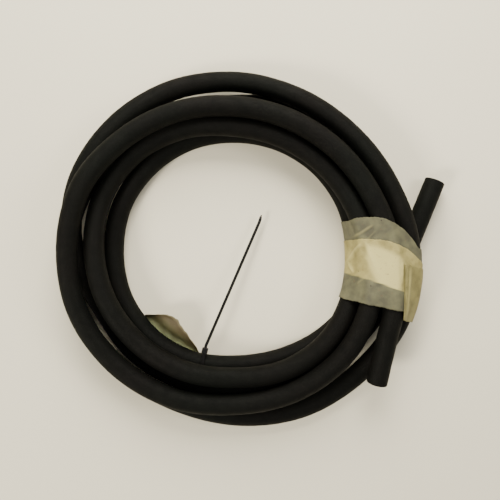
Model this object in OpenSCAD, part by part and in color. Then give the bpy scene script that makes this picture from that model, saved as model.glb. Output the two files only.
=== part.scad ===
// Soaker hose: five turns of porous rubber hose laid in a coil, with both ends cut square.
// Two windings of masking tape bind the coil on one side and a cable tie holds its inner turn.
// Millimetres, +Z up. The coil lies on z = 0 with its box centred on the origin.

/* [Hose] */
// Outer diameter of the hose
hose_od = 17; // [15:0.5:20.5]
// Bore of the hose, which a barbed fitting enters
hose_id = 13; // [9:0.5:13.5]
// Gap between neighbouring turns
turn_gap = 0.4; // [0.3:0.1:0.8]
// Straight length at each cut end
end_l = 40; // [25:5:45]

/* [Coil] */
// Clear opening inside the innermost turn
opening_d = 180; // [150:5:240]

/* [Masking tape] */
// Width of the tape
tape_w = 48; // [24:1:60]
// Thickness of one layer
tape_t = 0.3; // [0.2:0.05:0.4]
// Clearance between the tape and what lies under it
tape_gap = 0.3; // [0.2:0.05:0.35]
// Shift of the second winding along the hoses
tape_shift = 13; // [5:1:20]
// Angle of the windings across the hoses
tape_skew = 18; // [10:1:24]
// Length of the scrap of tape that stands under the inner turn
scrap_l = 61; // [40:1:66]
// Width of that scrap, up its slope
scrap_w = 25; // [12:1:30]

/* [Cable tie] */
// Width of the strap
tie_w = 2.5; // [2:0.1:3.6]
// Thickness of the strap
tie_t = 1.1; // [0.9:0.1:1.2]
// Length of the strap's tail beyond the head
tail_l = 122; // [40:1:125]
// Slope of the tail down from the top of the loop
tail_slope = 5.5; // [4:0.5:6]
// Clearance between the loop and the hose
loop_gap = 0.4; // [0.3:0.1:0.5]
// Width of the head
head_w = 5; // [4.8:0.1:7]
// Depth of the head along the tail
head_d = 4.4; // [4:0.1:6]
// Depth of the head under the strap, where the pawl lies
head_under = 2.6; // [2.4:0.1:3]
// Walls of the head over the slot, under the pawl and before it
head_wall = 0.7; // [0.6:0.1:0.8]
// Clearance between the strap and the head's slot
slot_gap = 0.25; // [0.2:0.05:0.3]
// Clearance round the pawl in its pocket
pawl_gap = 0.2; // [0.15:0.05:0.25]

/* [Hidden] */
$fn = 48;

rubber = "#2b2c28";
tape_cream = "#c3bd97";
nylon = "#151512";

// The coil is laid clockwise, seen from above. Each station is a lane, counted in hose widths
// outwards from the innermost one, and a level, counted in hose widths up from the ground.
STATIONS_A_TURN = 16;
STATION_ANGLE = 360 / STATIONS_A_TURN;
LAY = [
    // first turn: in from the lower end, under the pack, then out over the second turn
    [[2.75, 0.1], [1.95, 0.1], [1.55, 0], [1.3, 0], [1.2, 0], [1.3, 0], [1.45, 0], [1.55, 0.1],
     [2.15, 0.85], [2.5, 1.1], [2.6, 1], [2.65, 0.6], [2.5, 0.45], [2.15, 1.05], [2.1, 1.1],
     [2.25, 1.15]],
    // second turn: down to the ground as the outermost, then inwards under the first
    [[2.6, 1.2], [2.9, 0.8], [2.9, 0.1], [2.8, 0], [2.55, 0], [2.4, 0], [2.55, 0], [2.75, 0],
     [2.75, 0], [2.45, 0], [2.1, 0], [1.65, 0], [1.5, 0], [1.8, 0], [2.1, 0], [2.1, 0.05]],
    // third turn: the innermost, on the ground and lifted a little where the tie passes
    [[1.6, 0.1], [0.85, 0.1], [0.45, 0], [0.15, 0], [0.05, 0.1], [0.25, 0.1], [0.4, 0],
     [0.45, 0], [0.4, 0], [0.4, 0], [0.3, 0], [0.2, 0], [0.1, 0], [0.1, 0], [0.15, 0],
     [0.2, 0.05]],
    // fourth turn: up on top of the third
    [[0.2, 0.35], [0.3, 1], [0.5, 1.15], [0.55, 1.05], [0.45, 1.1], [0.6, 1.15], [0.8, 1.05],
     [0.95, 1.2], [1.1, 1.15], [1.2, 0.95], [1, 0.9], [0.6, 1], [0.2, 1.05], [0.1, 1.05],
     [0.15, 1.05], [0.3, 1.15]],
    // fifth turn: outside the fourth, and over the crossing of the first two
    [[0.6, 1.4], [1.1, 1.75], [1.45, 1.6], [1.65, 1.15], [1.75, 1], [2.05, 1], [2.25, 1.1],
     [2.3, 1.5], [2.15, 1.9], [2, 2.1], [1.65, 1.8], [1.3, 1.75], [1, 1.75], [0.9, 1.75],
     [0.95, 1.75], [1.15, 1.75]],
    // on to the upper end, over the pack
    [[1.6, 1.75], [2.25, 1.75]]
];
LANES = [for (turn = LAY) for (station = turn) station];
LAST = len(LANES) - 1;

// Where each cut end lies: its angle past its nearest station, its lane and its level
LOWER_TIP = [-19, 4.7, 0.1];
UPPER_TIP = [21, 3.55, 1.25];

// The rings' middle, off the origin because the two ends stick out to one side
COIL_MIDDLE = [-11.73, 0.44, 0];
turn_pitch = hose_od + turn_gap;
inner_r = (opening_d + hose_od) / 2;
hose_r = hose_od / 2;
bore_r = hose_id / 2;
HOSE_SIDES = 12;

// The tape's edges are measured along the hoses from the coil's middle line, the way the coil is laid
first_winding_middle = -28;
tape_from = first_winding_middle - tape_w / 2;
tape_to = tape_from + tape_shift + tape_w;
tape_spare = 2;
TAPE_SIDES = 24;

// The stations of each turn that the tape is pulled taut over, from past one edge to past the other
TAPE_REACH = [
    -(asin((tape_spare - tape_from) / inner_r) - tape_skew) / STATION_ANGLE, 0, 1,
    (asin((tape_spare + tape_to) / inner_r) + tape_skew) / STATION_ANGLE];

// The tape's loose end starts half a lane out from the outermost lane but one
tape_tail_start = inner_r + 2.5 * turn_pitch;
tape_tail_over = 5;

// The scrap's outline, in shares of its length and width
SCRAP_OUTLINE = [
    [-0.5, 0.11], [0.5, 0.11], [0.47, 0.25], [0.37, 0.6], [0.25, 0.9], [0.12, 1], [-0.45, 0.35]];

// Where the third turn carries the tie and the scrap, counted in stations along the hose
tie_station = 2 * STATIONS_A_TURN + 4.73;
scrap_station = 2 * STATIONS_A_TURN + 5.63;
scrap_tilt = 45;
// The loop stands this far from square to the hose, and the tail turns further past the head
tie_turn = -6;
tail_turn = -11;
tail_tip_l = 3;
tail_stub = 1;
tail_mitre = tie_w / 2 * tan(tail_turn / 2);
LOOP_STEPS = 36;

// The head stands against the inner side of the loop, over the strap's root
loop_r = hose_r + loop_gap;
head_x = loop_r;
strap_under_y = loop_r / cos(tail_slope) - head_x * tan(tail_slope);
head_bottom = strap_under_y - head_under;
head_top = strap_under_y + tie_t + slot_gap + head_wall;

// The pawl turns on a pin across the head and points the way that the strap is pulled
pawl_w = tie_w - 0.9;
pawl_l = 2.2;
pawl_pin_r = 0.4;
pawl_pin_gap = 0.05;
pawl_pin_l = 0.8;
pawl_x = head_x + head_wall + pawl_gap + pawl_pin_r;
pawl_y = head_bottom + head_wall + pawl_gap + pawl_pin_r;
pawl_tip_y = strap_under_y - (pawl_x + pawl_l - head_x) * tan(tail_slope) - pawl_gap;

function unit(v) = v / norm(v);

// A point of the coil at an angle in stations, a lane and a level
function place(k, lane, level) =
    let (r = inner_r + lane * turn_pitch, a = -k * STATION_ANGLE)
    COIL_MIDDLE + [r * cos(a), r * sin(a), hose_r + level * turn_pitch];

function station(k) = place(k, LANES[k][0], LANES[k][1]);

lower_tip = place(LOWER_TIP[0] / STATION_ANGLE, LOWER_TIP[1], LOWER_TIP[2]);
upper_tip = place(LAST + UPPER_TIP[0] / STATION_ANGLE, UPPER_TIP[1], UPPER_TIP[2]);
lower_joint = lower_tip + end_l * unit(station(0) - lower_tip);
upper_joint = upper_tip + end_l * unit(station(LAST) - upper_tip);

WHOLE = concat([lower_tip], [for (k = [0 : LAST]) station(k)], [upper_tip]);

// A point on the hose's line, counted in stations and no further than its tips
function along(k) =
    let (s = min(max(k, -1), LAST + 1), i = min(floor(s), LAST) + 1, f = s + 1 - i)
    WHOLE[i] * (1 - f) + WHOLE[i + 1] * f;

function heading(k) = let (i = floor(k) + 1) unit(WHOLE[i + 1] - WHOLE[i]);

COIL = concat([lower_joint], [for (k = [0 : LAST]) station(k)], [upper_joint]);
RINGS = len(COIL);

// The coil's heading at ring i: its chord's at both ends, and between two chords elsewhere
function coil_heading(i) =
    i == 0 ? unit(COIL[1] - COIL[0]) :
    i == RINGS - 1 ? unit(COIL[i] - COIL[i - 1]) :
    unit(unit(COIL[i + 1] - COIL[i]) + unit(COIL[i] - COIL[i - 1]));

function ring(p, d, r) =
    let (side = unit(cross([0, 0, 1], d)), up = cross(d, side))
    [for (i = [0 : HOSE_SIDES - 1]) let (a = 360 * i / HOSE_SIDES) p + r * (cos(a) * side + sin(a) * up)];

// The four corners between ring i and the next, at side j, of the skin whose points start at from
function patch(from, i, j) =
    let (n = HOSE_SIDES, a = from + i * n, k = (j + 1) % n)
    [a + j, a + k, a + n + k, a + n + j];

function flip(face) = [for (i = [len(face) - 1 : -1 : 0]) face[i]];

// The face between the outer and inner rings whose points start at a and b
function rim(a, b, j) = let (k = (j + 1) % HOSE_SIDES) [a + j, b + j, b + k, a + k];

module hose_coil() {
    skin = RINGS * HOSE_SIDES;
    outer = [for (i = [0 : RINGS - 1]) each ring(COIL[i], coil_heading(i), hose_r)];
    inner = [for (i = [0 : RINGS - 1]) each ring(COIL[i], coil_heading(i), bore_r)];
    last_ring = skin - HOSE_SIDES;
    faces = concat(
        [for (i = [0 : RINGS - 2], j = [0 : HOSE_SIDES - 1]) flip(patch(0, i, j))],
        [for (i = [0 : RINGS - 2], j = [0 : HOSE_SIDES - 1]) patch(skin, i, j)],
        [for (j = [0 : HOSE_SIDES - 1]) flip(rim(0, skin, j))],
        [for (j = [0 : HOSE_SIDES - 1]) rim(last_ring, skin + last_ring, j)]);
    color(rubber) polyhedron(concat(outer, inner), faces);
}

// Stands what follows at p, with its +Z along d
module aim(p, d) {
    translate(p) rotate([0, acos(d[2]), atan2(d[1], d[0])]) children();
}

// A straight cut end from the joint to the tip
module hose_end(joint, tip) {
    over = 1;
    color(rubber) aim(joint, unit(tip - joint)) difference() {
        cylinder(h = end_l, r = hose_r);
        translate([0, 0, -over]) cylinder(h = end_l + 2 * over, r = bore_r);
    }
}

module hose_end_lower() {
    hose_end(lower_joint, lower_tip);
}

module hose_end_upper() {
    hose_end(upper_joint, upper_tip);
}

// Everything within a distance of the turns that the tape binds, pulled taut
module bound_turns(grow) {
    hull() for (turn = [0 : len(LAY) - 1], k = TAPE_REACH)
        translate(along(turn * STATIONS_A_TURN + k)) sphere(r = hose_r + grow, $fn = TAPE_SIDES);
}

// A slab across the turns, from one distance past the coil's middle to another
module tape_slab(from, to) {
    big = opening_d + 8 * hose_od;
    translate(COIL_MIDDLE) rotate([0, 0, -tape_skew]) translate([0, -to, -big / 2])
        cube([big, to - from, big]);
}

// One layer of tape round the turns, the nth one out, cut to the slab
module tape_layer(n, from, to) {
    under = tape_gap + n * (tape_t + tape_gap);
    intersection() {
        difference() {
            bound_turns(under + tape_t);
            bound_turns(under);
        }
        tape_slab(from, to);
    }
}

module tape_first_winding() {
    color(tape_cream) tape_layer(0, tape_from, tape_from + tape_w);
}

module tape_second_winding() {
    color(tape_cream) tape_layer(1, tape_from + tape_shift, tape_from + tape_shift + tape_w);
}

// The second winding's loose end, folded down the outer side of the pack
module tape_tail() {
    big = opening_d;
    color(tape_cream) intersection() {
        tape_layer(2, first_winding_middle, tape_to + tape_tail_over);
        translate(COIL_MIDDLE + [0, 0, hose_r]) rotate([0, 0, -tape_skew])
            translate([tape_tail_start, -big, 0]) cube([big, 2 * big, 2 * hose_od]);
    }
}

// Sets a frame on the third turn: +X along the hose, +Y towards the coil's middle
module on_third_turn(k, turned) {
    d = heading(k);
    translate(along(k)) rotate([0, 0, atan2(d[1], d[0]) + turned]) mirror([0, 1, 0]) children();
}

// A scrap of tape stuck under the inner turn, which stands up into the opening. It is flat, so the
// hose bows towards its ends, a little more where the line is straight between two stations.
module tape_scrap() {
    bow = pow(scrap_l / 2, 2) / (2 * inner_r) + inner_r * (1 - cos(STATION_ANGLE)) / 2;
    under = hose_r + tape_gap + bow * sin(scrap_tilt);
    color(tape_cream) on_third_turn(scrap_station, 0)
        rotate([scrap_tilt, 0, 0]) translate([0, 0, -under - tape_t]) linear_extrude(tape_t)
        polygon([for (p = SCRAP_OUTLINE) [p[0] * scrap_l, p[1] * scrap_w]]);
}

// Sets the tie's own plane: +X towards the coil's middle, +Y up, +Z along the hose
module in_tie_plane() {
    on_third_turn(tie_station, tie_turn) rotate([90, 0, 90]) children();
}

// Sets the tail's line: +X along it from the top of the loop, on its underside
module on_tail(x) {
    rotate(-tail_slope) translate([x, loop_r, 0]) children();
}

// The part of the strap that runs straight, from the loop through the head
head_run = (head_x + head_d) / cos(tail_slope) + slot_gap;

// The tail's outline from where it turns, at a mitre just past the head, round its narrow tip
TAIL_OUTLINE = let (l = tail_l - tail_stub, half_w = tie_w / 2) [
    [tail_mitre, -half_w], [l - tail_tip_l, -half_w], [l, -half_w / 3],
    [l, half_w / 3], [l - tail_tip_l, half_w], [-tail_mitre, half_w]];

function tail_point(p) = [
    tail_stub + p[0] * cos(tail_turn) + p[1] * sin(tail_turn),
    p[1] * cos(tail_turn) - p[0] * sin(tail_turn)];

// One edge of the strap seen from the side, a height above its inner face: up to the head's
// underside at one end, round the loop under the hose, and through the head at the other
function strap_edge(h) = concat(
    [[loop_r + h, head_bottom]],
    [for (i = [0 : LOOP_STEPS]) let (a = -i * (270 + tail_slope) / LOOP_STEPS)
        (loop_r + h) * [cos(a), sin(a)]],
    [[head_run * cos(tail_slope) + (loop_r + h) * sin(tail_slope),
      (loop_r + h) * cos(tail_slope) - head_run * sin(tail_slope)]]);

module tie_strap() {
    color(nylon) in_tie_plane() {
        linear_extrude(tie_w, center = true) polygon(concat(strap_edge(0), flip(strap_edge(tie_t))));
        on_tail(head_run) rotate([-90, 0, 0]) linear_extrude(tie_t) polygon(concat(
            [[-tail_stub, tie_w / 2], [-tail_stub, -tie_w / 2]],
            [for (p = TAIL_OUTLINE) tail_point(p)]));
    }
}

module tie_head() {
    over = 1;
    pocket_l = 2 * pawl_gap + pawl_pin_r + pawl_l;
    color(nylon) in_tie_plane() difference() {
        translate([head_x, head_bottom, -head_w / 2]) cube([head_d, head_top - head_bottom, head_w]);
        linear_extrude(tie_w + 2 * slot_gap, center = true) on_tail(0)
            translate([0, -slot_gap]) square([head_run + over, tie_t + 2 * slot_gap]);
        linear_extrude(pawl_w + 2 * pawl_gap, center = true)
            translate([head_x + head_wall, head_bottom + head_wall])
                square([pocket_l, head_under - head_wall]);
        translate([pawl_x, pawl_y, 0]) cylinder(
            h = pawl_w + 2 * (pawl_pin_l + pawl_gap), r = pawl_pin_r + pawl_pin_gap, center = true);
    }
}

module tie_pawl() {
    color(nylon) in_tie_plane() translate([pawl_x, pawl_y, 0]) {
        cylinder(h = pawl_w + 2 * pawl_pin_l, r = pawl_pin_r, center = true);
        linear_extrude(pawl_w, center = true)
            polygon([[0, -pawl_pin_r], [pawl_l, 0], [pawl_l, pawl_tip_y - pawl_y],
                [pawl_l / 2, pawl_pin_r], [0, pawl_pin_r]]);
    }
}

hose_coil();
hose_end_lower();
hose_end_upper();
tape_first_winding();
tape_second_winding();
tape_tail();
tape_scrap();
tie_strap();
tie_head();
tie_pawl();
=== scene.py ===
import logging
import math
from dataclasses import dataclass, field
from enum import Enum
from typing import Callable, Sequence

import bmesh
import bpy
import numpy as np
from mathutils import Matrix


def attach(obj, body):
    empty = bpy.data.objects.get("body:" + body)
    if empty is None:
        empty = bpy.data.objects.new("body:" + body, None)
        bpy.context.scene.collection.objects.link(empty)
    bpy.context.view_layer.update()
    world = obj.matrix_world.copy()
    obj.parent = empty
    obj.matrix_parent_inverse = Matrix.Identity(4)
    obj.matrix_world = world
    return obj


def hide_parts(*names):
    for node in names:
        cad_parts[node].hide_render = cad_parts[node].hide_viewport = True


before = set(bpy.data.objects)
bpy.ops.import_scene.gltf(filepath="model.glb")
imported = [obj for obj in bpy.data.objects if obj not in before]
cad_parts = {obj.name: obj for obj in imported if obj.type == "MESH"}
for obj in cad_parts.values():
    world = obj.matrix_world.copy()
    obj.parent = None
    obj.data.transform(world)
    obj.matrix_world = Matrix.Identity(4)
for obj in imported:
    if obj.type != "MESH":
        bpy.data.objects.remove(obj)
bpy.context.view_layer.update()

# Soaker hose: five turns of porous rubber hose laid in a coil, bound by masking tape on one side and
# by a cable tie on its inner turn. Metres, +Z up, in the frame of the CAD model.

MM = 0.001
UP = np.array([0.0, 0.0, 1.0])
log = logging.getLogger("soaker_hose")

Array = np.ndarray
Face = tuple[int, ...]


class Body(Enum):
    """The CAD bodies that pieces ride on."""

    COIL = "coil"
    PAWL = "pawl"


class Slot(Enum):
    """The record's material slots."""

    RUBBER = "hose_rubber"
    TAPE = "masking_tape"
    NYLON = "tie_nylon"


class Layers(Enum):
    """How many layers of tape lie on each other, as the value of the tape's colour attribute."""

    ONE = 0.0
    TWO = 1.0


# ---------------------------------------------------------------- small helpers

def unit(v: Array) -> Array:
    """Returns v at a length of one."""
    return v / np.linalg.norm(v)


def smooth_step(x: Array | float) -> Array | float:
    """Returns 0 below 0, 1 above 1 and an even slope between."""
    x = np.clip(x, 0.0, 1.0)
    return x * x * (3 - 2 * x)


def linear(code: str) -> tuple[float, float, float, float]:
    """Turns an sRGB hex colour into linear red, green, blue and alpha."""
    parts = [int(code[i:i + 2], 16) / 255 for i in (1, 3, 5)]
    return (*[p / 12.92 if p <= 0.04045 else ((p + 0.055) / 1.055) ** 2.4 for p in parts], 1.0)


def add_node(tree: bpy.types.NodeTree, kind: str, settings: dict | None = None,
             inputs: dict | None = None) -> bpy.types.Node:
    """Adds one node to a tree.

    Args:
        tree: the material's or the Geometry Nodes tree.
        kind: the node's type name.
        settings: attribute names to values.
        inputs: input names or numbers to values, or to the sockets that feed them.

    Returns:
        The new node.
    """
    node = tree.nodes.new(kind)
    for name, value in (settings or {}).items():
        setattr(node, name, value)
    for name, value in (inputs or {}).items():
        if isinstance(value, bpy.types.NodeSocket):
            tree.links.new(value, node.inputs[name])
        else:
            node.inputs[name].default_value = value
    return node


def mesh_object(name: str, points: Array, faces: Sequence[Face],
                material: bpy.types.Material | None = None) -> bpy.types.Object:
    """Makes a smooth-shaded object whose place is in its mesh.

    Args:
        name: the object's name, and its mesh's.
        points: its corners.
        faces: its faces, as numbers of points.
        material: what it is made of, where that is known.

    Returns:
        The new object, linked to the scene.
    """
    mesh = bpy.data.meshes.new(name)
    mesh.from_pydata([tuple(map(float, p)) for p in points], [], [tuple(map(int, f)) for f in faces])
    mesh.shade_smooth()
    obj = bpy.data.objects.new(name, mesh)
    bpy.context.scene.collection.objects.link(obj)
    if material:
        mesh.materials.append(material)
    return obj


def set_attribute(obj: bpy.types.Object, name: str, values: Array) -> None:
    """Stores one number or one vector for each of a mesh's points.

    Args:
        obj: the object whose mesh takes them.
        name: the attribute's name.
        values: the numbers, or a row for each vector.
    """
    kind, key = ("FLOAT", "value") if values.ndim == 1 else ("FLOAT_VECTOR", "vector")
    made = obj.data.attributes.new(name, kind, "POINT")
    made.data.foreach_set(key, values.astype(np.float32).ravel())


def baked(obj: bpy.types.Object) -> bpy.types.Object:
    """Turns the result of an object's modifiers into its plain mesh and removes them.

    Args:
        obj: the object.

    Returns:
        The same object with its new mesh.
    """
    graph = bpy.context.evaluated_depsgraph_get()
    graph.update()
    mesh = bpy.data.meshes.new_from_object(obj.evaluated_get(graph), depsgraph=graph)
    obj.modifiers.clear()
    obj.data = mesh
    return obj


def modifier(obj: bpy.types.Object, kind: str, **settings: object) -> None:
    """Adds a modifier with its settings.

    Args:
        obj: what it works on.
        kind: the modifier's type name.
        settings: its attributes and their values.
    """
    made = obj.modifiers.new(kind.title(), kind)
    for name, value in settings.items():
        setattr(made, name, value)


def grid_faces(rows: int, columns: int, closed: bool = False) -> list[Face]:
    """Lists the faces of a grid of points that are numbered row by row.

    Args:
        rows: the number of rows.
        columns: the number of points in each row.
        closed: whether each row is a ring.

    Returns:
        The faces, as numbers of points.
    """
    last = columns if closed else columns - 1
    return [(r * columns + c, r * columns + (c + 1) % columns,
             (r + 1) * columns + (c + 1) % columns, (r + 1) * columns + c)
            for r in range(rows - 1) for c in range(last)]


def flipped(faces: Sequence[Face], first: int = 0) -> list[Face]:
    """Turns faces round, and counts their points from first."""
    return [tuple(first + i for i in reversed(f)) for f in faces]


def finish_piece(obj: bpy.types.Object, body: Body, slot: Slot, *nodes: str) -> bpy.types.Object:
    """Makes a piece ride on its body and stand for its CAD nodes.

    Args:
        obj: the piece.
        body: the body that it rides on.
        slot: its material slot; not used.
        nodes: the CAD nodes that it stands for.

    Returns:
        The same object.
    """
    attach(obj, body.value)
    if nodes:
        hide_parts(*nodes)
    log.info("%s: %d faces", obj.name, len(obj.data.polygons))
    return obj


# ---------------------------------------------------------------- Geometry Nodes

@dataclass
class NodeMaker:
    """A Geometry Nodes tree with named inputs, ended by Realize Instances and Set Material.

    Args:
        name: the tree's name.
        sizes: the tree's inputs and their values, in metres.
        material: what the tree's result is made of.
    """

    name: str
    sizes: dict[str, float]
    material: bpy.types.Material

    def __post_init__(self) -> None:
        """Makes the tree's sockets and its first node."""
        self.tree = bpy.data.node_groups.new(self.name, "GeometryNodeTree")
        face = self.tree.interface
        face.new_socket("Geometry", in_out="INPUT", socket_type="NodeSocketGeometry")
        self.sockets = {key: face.new_socket(key, in_out="INPUT", socket_type="NodeSocketFloat")
                        for key in self.sizes}
        self.material_socket = face.new_socket("Finish", in_out="INPUT",
                                               socket_type="NodeSocketMaterial")
        face.new_socket("Geometry", in_out="OUTPUT", socket_type="NodeSocketGeometry")
        self.start = self.add("NodeGroupInput")

    def add(self, kind: str, settings: dict | None = None, inputs: dict | None = None
            ) -> bpy.types.Node:
        """Adds a node to this tree."""
        return add_node(self.tree, kind, settings, inputs)

    def math(self, operation: str, a: object, b: object) -> bpy.types.NodeSocket:
        """Adds a math node for two numbers and returns its result."""
        return self.add("ShaderNodeMath", {"operation": operation}, {0: a, 1: b}).outputs[0]

    def run(self, obj: bpy.types.Object, result: bpy.types.NodeSocket) -> bpy.types.Object:
        """Ends the tree at a socket and runs it on an object.

        Args:
            obj: what the tree works on.
            result: the socket that carries the tree's geometry.

        Returns:
            The same object with its plain mesh.
        """
        real = self.add("GeometryNodeRealizeInstances", None, {"Geometry": result})
        dressed = self.add("GeometryNodeSetMaterial", None, {
            "Geometry": real.outputs["Geometry"], "Material": self.start.outputs["Finish"]})
        self.add("NodeGroupOutput", None, {"Geometry": dressed.outputs["Geometry"]})
        made = obj.modifiers.new(self.name, "NODES")
        made.node_group = self.tree
        for key, socket in self.sockets.items():
            made[socket.identifier] = float(self.sizes[key])
        made[self.material_socket.identifier] = self.material
        return baked(obj)


def roughen(obj: bpy.types.Object, name: str, material: bpy.types.Material,
            sizes: dict[str, float]) -> bpy.types.Object:
    """Moves a surface in and out by two noises, one fine and one broad.

    Args:
        obj: the surface.
        name: the tree's name.
        material: what the surface is made of.
        sizes: "Grain size", "Grain depth", "Wave length" and "Wave depth", in metres, and
            "Lift", a share: 0 where both noises go in and out evenly, 1 where both only go out.

    Returns:
        The same object with its new mesh.
    """
    maker = NodeMaker(name, sizes, material)
    place = maker.add("GeometryNodeInputPosition")
    total = None
    for size, depth in (("Grain size", "Grain depth"), ("Wave length", "Wave depth")):
        scale = maker.math("DIVIDE", 1.0, maker.start.outputs[size])
        noise = maker.add("ShaderNodeTexNoise", None, {
            "Vector": place.outputs[0], "Scale": scale, "Detail": 2.0})
        middle = maker.math("MULTIPLY", maker.math("SUBTRACT", 1.0, maker.start.outputs["Lift"]), 0.5)
        moved = maker.math("SUBTRACT", noise.outputs[0], middle)
        part = maker.math("MULTIPLY", moved, maker.start.outputs[depth])
        total = part if total is None else maker.math("ADD", total, part)
    normal = maker.add("GeometryNodeInputNormal")
    offset = maker.add("ShaderNodeVectorMath", {"operation": "SCALE"},
                       {0: normal.outputs[0], "Scale": total})
    moved = maker.add("GeometryNodeSetPosition", None, {
        "Geometry": maker.start.outputs["Geometry"], "Offset": offset.outputs[0]})
    return maker.run(obj, moved.outputs[0])


def along_path(obj: bpy.types.Object, name: str, material: bpy.types.Material, shape: bpy.types.Object,
               pitch: float) -> bpy.types.Object:
    """Repeats a shape along a line whose points carry "across" and "outward" directions.

    Args:
        obj: the line, as a mesh of edges.
        name: the tree's name.
        material: what the shapes are made of.
        shape: what repeats, with its length along +X and its height along +Z.
        pitch: the distance between two shapes.

    Returns:
        The same object, holding the shapes as one mesh.
    """
    maker = NodeMaker(name, {"Pitch": pitch}, material)
    line = maker.add("GeometryNodeMeshToCurve", None, {"Mesh": maker.start.outputs["Geometry"]})
    spaced = maker.add("GeometryNodeResampleCurve", None, {"Curve": line.outputs[0]})
    spaced.mode = "LENGTH"
    maker.tree.links.new(maker.start.outputs["Pitch"], spaced.inputs["Length"])
    named = {key: maker.add("GeometryNodeInputNamedAttribute", {"data_type": "FLOAT_VECTOR"},
                            {"Name": key}).outputs["Attribute"] for key in ("across", "outward")}
    turned = maker.add("FunctionNodeAxesToRotation", {"primary_axis": "Z", "secondary_axis": "X"}, {
        "Primary Axis": named["outward"], "Secondary Axis": named["across"]})
    repeated = maker.add("GeometryNodeObjectInfo", None, {"Object": shape})
    placed = maker.add("GeometryNodeInstanceOnPoints", None, {
        "Points": spaced.outputs[0], "Instance": repeated.outputs["Geometry"],
        "Rotation": turned.outputs[0]})
    made = maker.run(obj, placed.outputs[0])
    bpy.data.objects.remove(shape)
    return made


# ---------------------------------------------------------------- finishes

@dataclass(frozen=True)
class Finish:
    """What one kind of surface is made of."""

    name: str

    def begin(self) -> tuple[bpy.types.NodeTree, bpy.types.Node, bpy.types.NodeSocket]:
        """Makes the material.

        Returns:
            Its tree, its shader and its Object coordinates.
        """
        material = bpy.data.materials.new(self.name)
        material.use_nodes = True
        tree = material.node_tree
        shader = tree.nodes["Principled BSDF"]
        place = add_node(tree, "ShaderNodeTexCoord").outputs["Object"]
        return tree, shader, place

    def noise(self, tree: bpy.types.NodeTree, place: bpy.types.NodeSocket, size: float,
              detail: float = 3.0) -> bpy.types.NodeSocket:
        """Adds a noise whose lumps are size metres across."""
        return add_node(tree, "ShaderNodeTexNoise", None, {
            "Vector": place, "Scale": 1 / size, "Detail": detail}).outputs["Fac"]

    def ramp(self, tree: bpy.types.NodeTree, value: bpy.types.NodeSocket, low: float, high: float
             ) -> bpy.types.NodeSocket:
        """Stretches a value so that low becomes 0 and high becomes 1."""
        return add_node(tree, "ShaderNodeMapRange", None, {
            "Value": value, "From Min": low, "From Max": high}).outputs["Result"]

    def mix(self, tree: bpy.types.NodeTree, share: object, a: object, b: object
            ) -> bpy.types.NodeSocket:
        """Mixes two colours, each a hex value or a socket."""
        ends = [linear(c) if isinstance(c, str) else c for c in (a, b)]
        return add_node(tree, "ShaderNodeMix", {"data_type": "RGBA"}, {
            "Factor": share, 6: ends[0], 7: ends[1]}).outputs[2]

    def bump(self, tree: bpy.types.NodeTree, height: bpy.types.NodeSocket, depth: float,
             before: bpy.types.NodeSocket | None = None) -> bpy.types.NodeSocket:
        """Adds a bump, on top of an earlier one where there is one.

        Args:
            tree: the material's tree.
            height: what gives the bump its shape.
            depth: how deep it looks, in metres.
            before: the earlier bump's result.

        Returns:
            The normal that the shader takes.
        """
        inputs = {"Height": height, "Distance": depth, "Strength": 1.0}
        if before:
            inputs["Normal"] = before
        return add_node(tree, "ShaderNodeBump", None, inputs).outputs["Normal"]


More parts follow.
